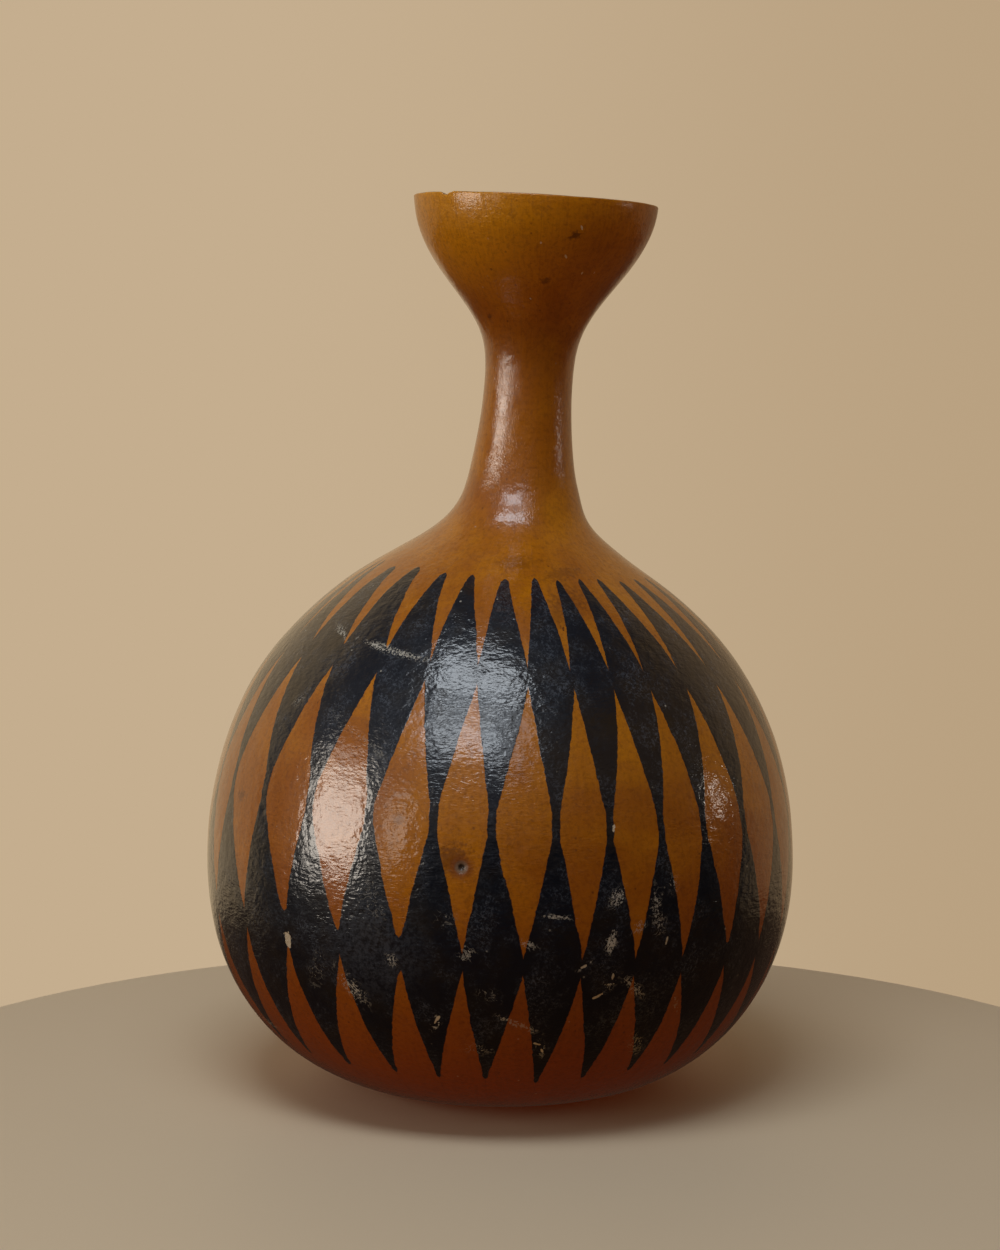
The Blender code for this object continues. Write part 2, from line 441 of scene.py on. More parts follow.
def shell_rows(outline, around, grown):
    """The shell as rows of points from the axis under it, up the outside, over the rim and down the
    inside to the axis, with each row's place along the outline and its zone."""
    rows, alongs, zones = [], [], []
    first = outline.along[0]
    outer_rim = rim_along(outline, around, rim_drop(around, False), False, grown) - RIM_ROUND
    inner_rim = rim_along(outline, around, rim_drop(around, True), True, grown) - RIM_ROUND
    common = outer_rim.min() * COMMON_SHARE

    def out_normal(along):
        out = np.interp(along, outline.along, outline.normal_out)
        up = np.interp(along, outline.along, outline.normal_up)
        return np.stack([out * np.sin(around), -out * np.cos(around), up + 0 * around], axis=-1)

    def row_points(along, inside):
        radius, height = profile(outline, along, inside)
        points = placed(radius, height, around, grown)
        if inside:
            bumps = -lumps(points, INSIDE_LUMPS, 31.0)
        else:
            bumps = lumps(points, SKIN_LUMPS, 0.0) + marked_relief(around, along, outline)
            bumps = bumps * ease(along, 0.0, LUMPS_FADE)
        return points + out_normal(along) * bumps[:, None]

    def add_row(along, inside, zone):
        along = along + 0 * around
        rows.append(row_points(along, inside))
        alongs.append(along)
        zones.append(zone)

    # Up the outside
    for share in FLAT_SHARES:
        add_row(first * (1 - share), False, "skin")
    for along in steps_with_finer(0.0, common / MM, ROW_STEP, FINE_ROWS) * MM:
        add_row(along, False, "skin")
    to_rim = int(np.mean(outer_rim - common) / MM / ROW_STEP)
    for share in np.arange(1, to_rim + 1) / to_rim:
        add_row(common + (outer_rim - common) * share, False, "skin")

    # Over the rim: a small rounding, the sawn face, a small rounding
    last_outer = rows[-1]
    first_inner = row_points(inner_rim, True)
    rise = out_normal(outer_rim)
    tangent = np.stack([-rise[:, 2] * np.sin(around), rise[:, 2] * np.cos(around),
                        np.hypot(rise[:, 0], rise[:, 1])], axis=-1)
    across = first_inner - last_outer
    across /= np.linalg.norm(across, axis=1)[:, None]
    grain = [noise.noise(Vector(point) * SAW_GRAIN_FREQUENCY) * SAW_GRAIN for point in last_outer]
    grain = np.array(grain)[:, None]
    for step in range(1, RIM_ROUND_STEPS + 1):
        bend = math.pi / 2 * step / RIM_ROUND_STEPS
        rows.append(last_outer + tangent * RIM_ROUND * math.sin(bend)
                    + across * RIM_ROUND * (1 - math.cos(bend)))
        alongs.append(outer_rim + RIM_ROUND)
        zones.append("skin" if step <= SKIN_OVER_RIM else "rim")
    outer_top = rows[-1]
    inner_top = first_inner + tangent * RIM_ROUND - across * RIM_ROUND
    for share in (0.33, 0.66):
        rows.append(outer_top * (1 - share) + inner_top * share + tangent * grain)
        alongs.append(outer_rim + RIM_ROUND)
        zones.append("rim")
    for step in range(RIM_ROUND_STEPS):
        bend = math.pi / 2 * (1 - step / RIM_ROUND_STEPS)
        rows.append(first_inner + tangent * RIM_ROUND * math.sin(bend)
                    - across * RIM_ROUND * (1 - math.cos(bend)))
        alongs.append(inner_rim)
        zones.append("rim")

    # Down the inside: close rows in the cup, wider ones in the body
    inner_common = inner_rim.min() * COMMON_SHARE
    cup_rows = int(np.mean(inner_rim - inner_common) / MM / CUP_ROW_STEP)
    for share in np.arange(cup_rows + 1) / cup_rows:
        add_row(inner_rim + (inner_common - inner_rim) * share, True, "inside")
    for along in np.arange(inner_common - INSIDE_ROW_GAP * MM, 0.0, -INSIDE_ROW_STEP * MM):
        add_row(along, True, "inside")
    for share in INSIDE_FLAT_SHARES:
        add_row(first * share, True, "inside")
    return np.array(rows), np.array(alongs), zones


def column_angles():
    """Every black column's angle at each level. Those round the back are spaced evenly, and each strays
    a little."""
    rng = random.Random(11)
    front = [list(column) for column in FRONT_COLUMNS]
    missing = COLUMN_COUNT - len(front)
    start, end = front[-1][2], front[0][2] + 360
    for i in range(1, missing + 1):
        middle = start + (end - start) * i / (missing + 1) + rng.uniform(-BACK_JITTER, BACK_JITTER)
        front.append([middle + rng.uniform(-BACK_JITTER, BACK_JITTER) * s for s in (1, 0.7, 0.2, 0.7, 1)])
    return np.array(front)


def pattern_places(around, along):
    """Each point's column and level in the painted pattern: whole columns are the black diamonds'
    middles, and levels run from 0 at the lower tips to 4 at the upper ones."""
    columns = column_angles()
    count = len(columns)
    rng = random.Random(5)
    low_tips = np.tile([rng.uniform(-LOW_TIP_STRAY, LOW_TIP_STRAY) * MM for _ in columns], 3)
    high_tips = np.tile([rng.uniform(-HIGH_TIP_STRAY, HIGH_TIP_STRAY) * MM for _ in columns], 3)
    lap = np.concatenate([columns - 360, columns, columns + 360]).T
    numbers = np.arange(3 * count) - count
    plump = np.array([PLUMP_TIPS.get(k, 1.0) for k in range(count)])
    degrees = np.broadcast_to(np.degrees(around), along.shape)
    lines = np.array([base - fall * np.sin(around) for base, fall in zip(LEVEL_ALONG, LEVEL_FALL)])
    lines[0] += LOW_TIP_LIFT * (1 - np.cos(around)) / 2
    lines = np.repeat(lines[:, None, :], len(along), axis=1)
    base_lines = lines.copy()

    def level_of(lines):
        level = sum(np.clip((along - lines[k]) / (lines[k + 1] - lines[k]), 0, 1) for k in range(4))
        above = np.maximum(along - lines[4], 0) / (lines[4] - lines[3])
        below = np.minimum(along - lines[0], 0) / (lines[1] - lines[0])
        return level + above + below

    def column_of(level):
        low = np.clip(level, 0, 3.999).astype(int)
        mix = (np.clip(level, 0, 4) - low)[..., None]
        at_level = lap[low] * (1 - mix) + lap[low + 1] * mix
        left = (at_level <= degrees[..., None]).sum(axis=-1) - 1
        start = np.take_along_axis(at_level, left[..., None], -1)[..., 0]
        end = np.take_along_axis(at_level, left[..., None] + 1, -1)[..., 0]
        return numbers[left] + (degrees - start) / (end - start)

    level = level_of(lines)
    for _ in range(2):
        column = column_of(level)
        lines[0] = base_lines[0] + np.interp(column, numbers, low_tips)
        lines[4] = base_lines[4] + np.interp(column, numbers, high_tips)
        level = level_of(lines)

    # The broad tips, by squeezing the places towards the column's middle, and the blunt ones
    nearest = np.round(column)
    squeeze = 1 - (1 - plump[nearest.astype(int) % count]) * ease(level, *PLUMP_STRETCH)
    off = column - nearest
    shaped = off * squeeze + (np.abs(off) * 2) ** 4 * off * (1 - squeeze)
    flattened = level.copy()
    for left, middle, reach in BLUNT_TIPS:
        above = (level - middle) / reach
        cut = (np.floor(column) % count == left) & (above > 0) & (above < 1)
        flattened[cut] = middle + (level[cut] - middle) * BLUNT_SLOPE
    return nearest + shaped, flattened


# Where each part of the surface lies in the picture that the finished colours are baked into:
# left, bottom, width and height, for stretches along the shell
BAKE_STRIPS = {
    "body": (0.004, 0.004, 0.992, 0.520),
    "neck": (0.004, 0.532, 0.560, 0.330),
    "base": (0.580, 0.532, 0.200, 0.200),
    "rim": (0.004, 0.870, 0.992, 0.016),
    "cup inside": (0.004, 0.894, 0.560, 0.100),
    "body inside": (0.580, 0.740, 0.416, 0.120),
    "base inside": (0.800, 0.532, 0.190, 0.190),
}

# Metres up the outline at which one strip ends and the next begins
BASE_UP_TO = 0.028
NECK_FROM = 0.236
CUP_INSIDE_DOWN_TO = 0.30


def strip_rows(alongs, zones):
    """The rows between which each strip of the bake lies."""
    middle = alongs.mean(axis=1)
    skins = [i for i, zone in enumerate(zones) if zone == "skin"]
    insides = [i for i, zone in enumerate(zones) if zone == "inside"]
    base_end = min(i for i in skins if middle[i] > BASE_UP_TO)
    neck_start = min(i for i in skins if middle[i] > NECK_FROM)
    cup_end = min(i for i in insides if middle[i] < CUP_INSIDE_DOWN_TO)
    floor_start = min(i for i in insides if middle[i] < BASE_UP_TO)
    return {
        "base": (0, base_end),
        "body": (base_end, neck_start),
        "neck": (neck_start, skins[-1] + 1),
        "rim": (skins[-1] + 1, insides[0]),
        "cup inside": (insides[0], cup_end),
        "body inside": (cup_end, floor_start),
        "base inside": (floor_start, len(zones) - 1),
    }


def bake_grid(name, first, last, shares, rows):
    """Where the corners of this strip's rows lie in the bake's picture, across and up."""
    left, bottom, width, height = BAKE_STRIPS[name]
    lengths = np.linalg.norm(np.diff(rows[first : last + 1, 0], axis=0), axis=1)
    up = np.concatenate([[0.0], np.cumsum(lengths)])[:, None] / lengths.sum()
    if name.startswith("base"):
        away = up if name == "base" else 1 - up
        turn = 2 * math.pi * shares[None, :] * (1 if name == "base" else -1)
        half = width / 2
        return left + half + away * half * np.sin(turn), bottom + half - away * half * np.cos(turn)
    return left + width * shares[None, :] + 0 * up, bottom + height * up + 0 * shares[None, :]


def face_corners(across, up, first_tip, last_tip):
    """Two values for each face corner, in the mesh's order, from grids of rows and columns. Where the
    first or last row is an end of the axis, its corner lies midway between its face's columns."""
    grid = np.stack([across, up], axis=-1)
    here, right = grid[:, :-1], grid[:, 1:]
    quads = np.stack([here[:-1], right[:-1], right[1:], here[1:]], axis=2)
    middles = (here + right) / 2
    bands = list(quads)
    if first_tip:
        bands[0] = np.stack([middles[0], quads[0][:, 2], quads[0][:, 3]], axis=1)
    if last_tip:
        bands[-1] = np.stack([quads[-1][:, 0], quads[-1][:, 1], middles[-1]], axis=1)
    return np.concatenate([band.reshape(-1) for band in bands])


def build_shell(belly):
    """The whole shell as one closed mesh, with the pattern's places and the bake's layout."""
    grown = belly * GROWN_PER_BELLY
    outline = grown_outline(belly)
    degrees = steps_with_finer(-180.0, 180.0, COLUMN_STEP, FINE_COLUMNS)
    around = np.radians(degrees[:-1])
    rows, alongs, zones = shell_rows(outline, around, grown)
    row_count, column_count = rows.shape[:2]

    # One point at each end of the axis, and rings between
    points = np.concatenate([rows[:1, 0], rows[1:-1].reshape(-1, 3), rows[-1:, 0]])
    ring = np.arange(column_count)
    after = (ring + 1) % column_count
    faces = [(0, 1 + b, 1 + a) for a, b in zip(ring, after)]
    for i in range(row_count - 3):
        start = 1 + i * column_count
        above = start + column_count
        faces += zip(start + ring, start + after, above + after, above + ring)
    start = 1 + (row_count - 3) * column_count
    faces += [(start + a, start + b, len(points) - 1) for a, b in zip(ring, after)]
    mesh = bpy.data.meshes.new("gourd_shell")
    mesh.from_pydata(points.tolist(), [], [tuple(int(v) for v in face) for face in faces])
    gourd = bpy.data.objects.new("gourd_shell", mesh)
    bpy.context.collection.objects.link(gourd)
    mesh.polygons.foreach_set("use_smooth", np.ones(len(faces), bool))

    # Zones of material
    slots = {"skin": 0, "rim": 1, "inside": 2}
    bands = [slots[a] if a == b else slots["rim"] for a, b in zip(zones, zones[1:])]
    mesh.polygons.foreach_set("material_index", np.repeat(bands, column_count))

    # The pattern's places, and the bake's layout, for each face corner
    turns = np.append(around, around[0] + 2 * math.pi)
    closed = np.concatenate([alongs, alongs[:, :1]], axis=1)
    skin_rows = max(i for i, zone in enumerate(zones) if zone == "skin") + 1
    columns, levels = pattern_places(turns, closed[:skin_rows])
    unpainted = ((0, row_count - skin_rows), (0, 0))
    columns, levels = np.pad(columns, unpainted), np.pad(levels, unpainted, constant_values=-1.0)
    pattern_map = mesh.uv_layers.new(name="Pattern")
    pattern_map.data.foreach_set("uv", face_corners(columns, levels, True, True))
    shares = (np.degrees(turns) + 180) / 360
    laid_out = []
    for name, (first, last) in strip_rows(alongs, zones).items():
        grid = bake_grid(name, first, last, shares, rows)
        laid_out.append(face_corners(*grid, first == 0, last == row_count - 1))
    bake_map = mesh.uv_layers.new(name="OFBake")
    bake_map.data.foreach_set("uv", np.concatenate(laid_out))

    # The skin as if wrapped round a cylinder as wide as the belly, with its height up the outline
    cylinder = belly * np.sin(around), -belly * np.cos(around)
    rolled = np.stack([cylinder[0] + 0 * alongs, cylinder[1] + 0 * alongs, alongs], axis=-1)
    rolled = np.concatenate([rolled[:1, 0], rolled[1:-1].reshape(-1, 3), rolled[-1:, 0]])
    wrapped = mesh.attributes.new("wrapped", "FLOAT_VECTOR", "POINT")
    wrapped.data.foreach_set("vector", rolled.reshape(-1))
    lay_marks(mesh, outline, turns, closed, skin_rows)
    mesh.update()
    return gourd


def lay_marks(mesh, outline, turns, closed, skin_rows):
    """Gives each skin face its nearest mark: the Marks map holds the way from the mark's middle along
    and across it, 1 long at its edge, and mark holds how much it scuffs, stains and chips."""
    middle_turn = (turns[:-1] + turns[1:]) / 2
    middle_up = (closed[: skin_rows - 1, :-1] + closed[1:skin_rows, :-1]) / 2
    nearest = np.full(middle_up.shape, np.inf)
    chosen = np.full(middle_up.shape, -1)

    def local(mark, around, along, room=0.0):
        angle, up, half_length, half_width, slant = mark[:5]
        if mark[5]:
            half_length, half_width = half_length * SCUFF_SPREAD, half_width * SCUFF_SPREAD
        half_length, half_width = half_length + room, half_width + room
        right, rise = close_to(around, along, (angle, up), outline)
        lean = math.radians(slant)
        length = rise * math.cos(lean) + right * math.sin(lean)
        width = right * math.cos(lean) - rise * math.sin(lean)
        return length / half_length, width / half_width

    # Each face's nearest mark. Inside a chip's room the chip goes before all others
    for k, mark in enumerate(MARKS):
        chips = mark[7] > 0
        far = np.hypot(*local(mark, middle_turn, middle_up, CHIP_ROOM if chips else 0.0))
        if chips:
            far = np.where(far < 1, far - 1, far)
        closer = far < nearest
        nearest[closer] = far[closer]
        chosen[closer] = k

    # Its values at the face's corners
    ways = np.full((skin_rows - 1, len(middle_turn), 4, 2), FAR_FROM_MARKS)
    kinds = np.zeros((skin_rows - 1, len(middle_turn), 4, 3))
    corner_turn = np.stack([turns[:-1], turns[1:], turns[1:], turns[:-1]], axis=-1)
    corner_up = np.stack([closed[: skin_rows - 1, :-1], closed[: skin_rows - 1, 1:],
                          closed[1:skin_rows, 1:], closed[1:skin_rows, :-1]], axis=-1)
    for k, mark in enumerate(MARKS):
        length, width = local(mark, corner_turn[None], corner_up)
        mine = chosen == k
        ways[mine] = np.stack([length, width], axis=-1)[mine]
        kinds[mine] = mark[5:]

    # The first band of the mesh is triangles round the axis, and has no marks
    corners = sum(len(face.vertices) for face in mesh.polygons)
    way_values = np.full((corners, 2), FAR_FROM_MARKS)
    kind_values = np.zeros((corners, 3))
    first = 3 * len(middle_turn)
    marked = ways[1:].reshape(-1, 2)
    way_values[first : first + len(marked)] = marked
    kind_values[first : first + len(marked)] = kinds[1:].reshape(-1, 3)
    mesh.uv_layers.new(name="Marks").data.foreach_set("uv", way_values.reshape(-1))
    holder = mesh.attributes.new("mark", "FLOAT_VECTOR", "CORNER")
    holder.data.foreach_set("vector", kind_values.reshape(-1))


# Node helpers

def fill(tree, made, inputs):
    """Sets a node's inputs to values, or links them to sockets."""
    for name, value in inputs.items():
        if isinstance(value, bpy.types.NodeSocket):
            tree.links.new(value, made.inputs[name])
        else:
            made.inputs[name].default_value = value


def node(tree, kind, inputs=None, **settings):
    made = tree.nodes.new("ShaderNode" + kind)
    for name, value in settings.items():
        setattr(made, name, value)
    fill(tree, made, inputs or {})
    return made


def calc(tree, operation, *values):
    return node(tree, "Math", dict(enumerate(values)), operation=operation).outputs[0]


def times(tree, product, *others):
    """The values multiplied together."""
    for value in others:
        product = calc(tree, "MULTIPLY", product, value)
    return product


def largest(tree, value, *others):
    for other in others:
        value = calc(tree, "MAXIMUM", value, other)
    return value


def scaled(tree, where, *scales):
    """A place moved out from the middle by a scale for each axis."""
    return node(tree, "VectorMath", {0: where, 1: scales}, operation="MULTIPLY").outputs[0]


def axes(tree, where):
    return node(tree, "SeparateXYZ", {0: where}).outputs


def mixed(tree, share, below, above):
    """The colour below, covered by this share of the colour above."""
    return node(tree, "Mix", {0: share, 6: below, 7: above}, data_type="RGBA").outputs[2]


def spread(tree, value, low, high, to_low=0.0, to_high=1.0, smooth=True):
    """The value's stretch from low to high, as to_low to to_high."""
    kind = "SMOOTHSTEP" if smooth else "LINEAR"
    inputs = {"Value": value, "From Min": low, "From Max": high, "To Min": to_low, "To Max": to_high}
    return node(tree, "MapRange", inputs, interpolation_type=kind).outputs["Result"]


def cloud(tree, where, size, detail=2.0, roughness=0.5, twist=0.0):
    """Soft noise with patches of about this size in metres, from 0 to 1."""
    inputs = {"Vector": where, "Scale": 1 / size, "Detail": detail, "Roughness": roughness,
              "Distortion": twist}
    return node(tree, "TexNoise", inputs).outputs["Fac"]


def swing(tree, value):
    """A value from 0 to 1 moved down by a half, so that it swings about 0."""
    return calc(tree, "SUBTRACT", value, 0.5)


def distance(tree, where, middle=(0.0, 0.0, 0.0)):
    """How far a place lies from the middle."""
    return node(tree, "VectorMath", {0: where, 1: middle}, operation="DISTANCE").outputs["Value"]


def stretched(tree, where, across, up):
    """The wrapped skin drawn out so that noise on it grows this much longer across or up."""
    return scaled(tree, where, 1 / across, 1 / across, 1 / up)


def dots(tree, where, apart, inner, outer):
    """Soft dots about this far apart in metres. Returns a value that is 1 in a dot and 0 between them,
    and three random values for each dot."""
    cells = node(tree, "TexVoronoi", {"Vector": where, "Scale": 1 / apart, "Randomness": 1.0}).outputs
    chances = node(tree, "SeparateColor", {0: cells["Color"]}).outputs
    return spread(tree, cells["Distance"], inner, outer, 1.0, 0.0), chances


def bumped(tree, height):
    """The surface's direction with this relief, in millimetres."""
    return node(tree, "Bump", {"Height": height, "Distance": MM, "Strength": 1.0}).outputs[0]


def new_group(name, inputs, outputs):
    """A node group with its input and output sockets. Returns the tree, its inputs and its outputs."""
    tree = bpy.data.node_groups.new(name, "ShaderNodeTree")
    for label, kind, value in inputs:
        socket = tree.interface.new_socket(name=label, in_out="INPUT", socket_type="NodeSocket" + kind)
        if value is not None:
            socket.default_value = value
    for label, kind in outputs:
        tree.interface.new_socket(name=label, in_out="OUTPUT", socket_type="NodeSocket" + kind)
    start = tree.nodes.new("NodeGroupInput")
    end = tree.nodes.new("NodeGroupOutput")
    return tree, start.outputs, end.inputs


def use_group(tree, group, inputs):
    return node(tree, "Group", inputs, node_tree=group).outputs


# The painted diamonds

# The widths are shares of a column. Level 0 is at the low tips, 1 and 3 are where the two rows are widest,
# 2 is where the rows meet, and 4 is at the high tips
SWAY_ACROSS, SWAY_UP = 0.07, 0.04
FRAY_ACROSS = 0.045
TIP_WIDTH = 0.04
WIDENING = 1.03
LOW_STEM, MIDDLE_STEM = 0.11, 0.14
HIGH_TIP_WIDTH = 0.19
HIGH_WIDENING, HIGH_SLOWING = 1.12, -0.25
ROUNDED_END = 0.035
SOFT_EDGE = 0.016


def diamonds_group():
    """The painted diamonds, from each point's column and level. Paint is 1 under the black."""
    tree, given, result = new_group(
        "painted diamonds",
        [("Column", "Float", 0.0), ("Level", "Float", 0.0), ("Place", "Vector", None)],
        [("Paint", "Float")],
    )
    slow = swing(tree, cloud(tree, given["Place"], 0.011))
    quick = swing(tree, cloud(tree, given["Place"], 0.0016))
    column = calc(tree, "MULTIPLY_ADD", slow, SWAY_ACROSS, given["Column"])
    column = calc(tree, "MULTIPLY_ADD", quick, FRAY_ACROSS, column)
    level = calc(tree, "MULTIPLY_ADD", slow, SWAY_UP, given["Level"])
    off = calc(tree, "ABSOLUTE", calc(tree, "SUBTRACT", column, calc(tree, "ROUND", column)))

    # Each diamond narrows evenly from its widest level to a short stem. The upper tips are rounder
    fat = calc(tree, "PINGPONG", level, 1.0)
    share = calc(tree, "MULTIPLY_ADD", fat, WIDENING, TIP_WIDTH)
    share = largest(tree, share, spread(tree, level, 0.9, 1.1, LOW_STEM, MIDDLE_STEM))
    bulge = calc(tree, "MULTIPLY_ADD", fat, HIGH_SLOWING, HIGH_WIDENING)
    round_share = calc(tree, "MULTIPLY_ADD", fat, bulge, HIGH_TIP_WIDTH)
    upper = calc(tree, "GREATER_THAN", level, 3.0)
    rounder = calc(tree, "SUBTRACT", round_share, share)
    share = calc(tree, "MULTIPLY_ADD", upper, rounder, share)
    inside = calc(tree, "MINIMUM", level, calc(tree, "SUBTRACT", 4.0, level))
    end = calc(tree, "SQRT", spread(tree, inside, 0.0, ROUNDED_END, smooth=False))
    room = calc(tree, "MULTIPLY_ADD", off, -2.0, times(tree, share, end))
    tree.links.new(spread(tree, room, -SOFT_EDGE, SOFT_EDGE), result["Paint"])
    return tree


# Grown and worn finishes, as node groups


def mottle_group():
    """How a gourd's skin or wall varies: broad clouds, fine blotches, fibres and dark freckles."""
    tree, given, result = new_group(
        "grown mottle",
        [("Place", "Vector", None), ("Wrapped", "Vector", None), ("Fibre Size", "Float", 0.0022)],
        [("Clouds", "Float"), ("Blotches", "Float"), ("Fibres", "Float"), ("Freckles", "Float")],
    )
    tree.links.new(cloud(tree, given["Place"], 0.045, 3.0, 0.55, 0.6), result["Clouds"])
    blotches = cloud(tree, given["Place"], 0.0065, 5.0, 0.62, 0.8)
    tree.links.new(blotches, result["Blotches"])
    drawn = stretched(tree, given["Wrapped"], 1.0, 7.0)
    scale = calc(tree, "DIVIDE", 1.0, given["Fibre Size"])
    fibres = node(tree, "TexNoise", {"Vector": drawn, "Scale": scale, "Detail": 3.0, "Roughness": 0.6})
    tree.links.new(fibres.outputs["Fac"], result["Fibres"])
    near, chances = dots(tree, given["Place"], 0.0027, 0.08, 0.22)
    rare = spread(tree, chances[0], 0.45, 0.8)
    patchy = spread(tree, cloud(tree, given["Place"], 0.022), 0.35, 0.65)
    tree.links.new(times(tree, near, rare, patchy), result["Freckles"])
    return tree


def ripple_group():
    """Fine ripples across the brushed finish, in clumps. Height is in millimetres."""
    tree, given, result = new_group(
        "brushed ripples",
        [("Place", "Vector", None), ("Wrapped", "Vector", None), ("Height", "Float", 0.006),
         ("Grain", "Float", 0.003)],
        [("Relief", "Float")],
    )
    drawn = stretched(tree, given["Wrapped"], 3.2, 1.0)
    ripples = swing(tree, cloud(tree, drawn, 0.0008, twist=0.5))
    clumps = spread(tree, cloud(tree, given["Place"], 0.009, 2.0, 0.6), 0.34, 0.66, 0.35, 1.0)
    rolls = times(tree, ripples, clumps, given["Height"])
    hammered = times(tree, swing(tree, cloud(tree, given["Place"], 0.0032)), given["Height"])
    rolls = calc(tree, "MULTIPLY_ADD", hammered, 1.6, rolls)
    leather = swing(tree, cloud(tree, given["Place"], 0.0011, 2.0, 0.55))
    relief = calc(tree, "MULTIPLY_ADD", leather, given["Grain"], rolls)
    tree.links.new(relief, result["Relief"])
    return tree


def scuff_group():
    """One scuffed place. Local is the way from its middle, 1 long at its edge."""
    tree, given, result = new_group(
        "scuff",
        [("Local", "Vector", None), ("Place", "Vector", None), ("Cover", "Float", 0.5)],
        [("Mark", "Float")],
    )
    within = spread(tree, distance(tree, given["Local"]), 0.35, 1.15, 1.0, 0.0)
    wanted = times(tree, within, given["Cover"])

    # Scraped specks, crowded in the middle
    broken = times(tree, cloud(tree, given["Place"], 0.0008, 3.0, 0.6), 0.65)
    streaks = cloud(tree, scaled(tree, given["Local"], 1.2, 5.0, 1.0), 1 / 1.6, 3.0, 0.6)
    both = calc(tree, "MULTIPLY_ADD", streaks, 0.35, broken)
    line = calc(tree, "MULTIPLY_ADD", wanted, -0.29, 0.74)
    specks = spread(tree, calc(tree, "SUBTRACT", both, line), 0.0, 0.02)

    # Fine curling lines, where two shades of the noise meet
    curls = calc(tree, "ABSOLUTE", swing(tree, cloud(tree, given["Place"], 0.0030, twist=1.0)))
    lines = spread(tree, curls, 0.010, 0.030, 0.9, 0.0)
    gaps = spread(tree, cloud(tree, given["Place"], 0.0041, 1.0), 0.42, 0.52)
    lines = times(tree, lines, gaps, wanted)
    tree.links.new(largest(tree, times(tree, specks, within), lines), result["Mark"])
    return tree


def dust_group():
    """Pale flecks and a thin grey bloom of old dust and handling."""
    tree, given, result = new_group(
        "dust and flecks",
        [("Place", "Vector", None), ("Amount", "Float", 0.5)],
        [("Flecks", "Float"), ("Bloom", "Float")],
    )
    near, chances = dots(tree, given["Place"], 0.0042, 0.045, 0.12)
    rare = calc(tree, "GREATER_THAN", chances[1], calc(tree, "MULTIPLY_ADD", given["Amount"], -0.35, 1.0))
    patchy = spread(tree, cloud(tree, given["Place"], 0.03), 0.40, 0.62)
    tree.links.new(times(tree, near, rare, patchy), result["Flecks"])
    fine = spread(tree, cloud(tree, given["Place"], 0.0010, 3.0, 0.75, 0.8), 0.46, 0.66)
    wide = spread(tree, cloud(tree, given["Place"], 0.013, 5.0, 0.7), 0.42, 0.66)
    tree.links.new(times(tree, fine, wide, given["Amount"]), result["Bloom"])
    return tree


def new_material(name):
    material = bpy.data.materials.new(name)
    material.use_nodes = True
    tree = material.node_tree
    shader = tree.nodes["Principled BSDF"]
    place = node(tree, "TexCoord").outputs["Object"]
    wrapped = node(tree, "Attribute", attribute_name="wrapped").outputs["Vector"]
    return material, tree, shader, place, wrapped


GOLDEN = tone(196, 120, 0)
# a lighter gold that paints the light falling on the cup's left side
CUP_GOLD_PAINTED_LIGHT = tone(222, 147, 0)
RED_BROWN = tone(168, 94, 0)
# a darker red-brown for the lower belly: partly the skin's redder tone, partly painted shade
LOW_BROWN_AND_SHADE = tone(157, 67, 0)
DARK_BROWN = tone(84, 38, 4)
WORN_BROWN = tone(176, 132, 82)
BLACK = tone(12, 15, 25)
THIN_BLACK = tone(26, 20, 18)
PALE_SCUFF = tone(192, 186, 172)
GREY_BLOOM = tone(114, 121, 133)
CHIP_PALE = tone(222, 206, 178)
PIT_HALO = tone(120, 58, 14)
RING_GREY = tone(126, 104, 84)
PIT_BROWN = tone(20, 12, 8)
SAW_BROWN = tone(120, 78, 40)
SAW_FIBRE = tone(86, 52, 26)
INSIDE_PALE = tone(188, 150, 102)
INSIDE_TAN = tone(146, 104, 62)
INSIDE_STAIN = tone(106, 70, 40)
INSIDE_FIBRE = tone(84, 54, 30)

# Heights up the outline in metres between which the skin changes: brown below and fading out upwards,
# partly the skin's own redder tone and partly painted shade on the lower belly, golden on the cup with
# painted light making its left side lighter, and its varnish worn by hands below the rim
LOW_BROWN_AND_SHADE_UP = (0.045, 0.160)
CUP_GOLD_PAINTED_LIGHT_UP = (0.345, 0.372)
HANDLED_UP = (0.364, 0.377)


